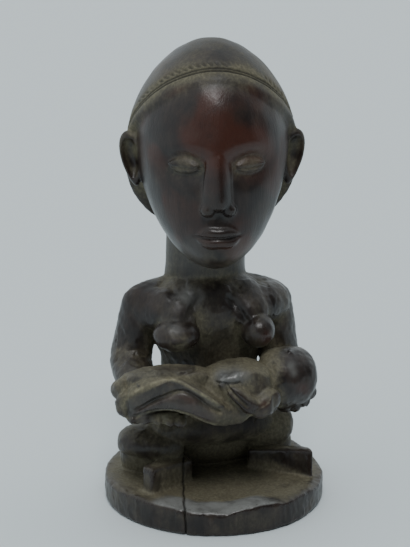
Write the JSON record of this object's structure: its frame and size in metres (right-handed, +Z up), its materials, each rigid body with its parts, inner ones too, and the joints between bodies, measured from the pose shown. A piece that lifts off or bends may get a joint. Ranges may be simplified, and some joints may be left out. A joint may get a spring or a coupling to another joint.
{
  "type": "carved maternity figure",
  "caption": "Dark hardwood carving of a seated mother with a child across her lap, on a round base, all cut from one block.",
  "frame": {"origin": "centre of the round base's underside", "axes": "+Z up to the top of the head, -Y the side that the mother faces, +X the viewer's right, where the child's head lies"},
  "size_m": [0.0964, 0.0964, 0.2],
  "materials": {
    "dark_wood": "dark brown-black hardwood, hand-polished on its high places, ochre dust in its hollows"
  },
  "bodies": {
    "root": {"maternity_figure": "dark_wood"}
  },
  "joints": []
}
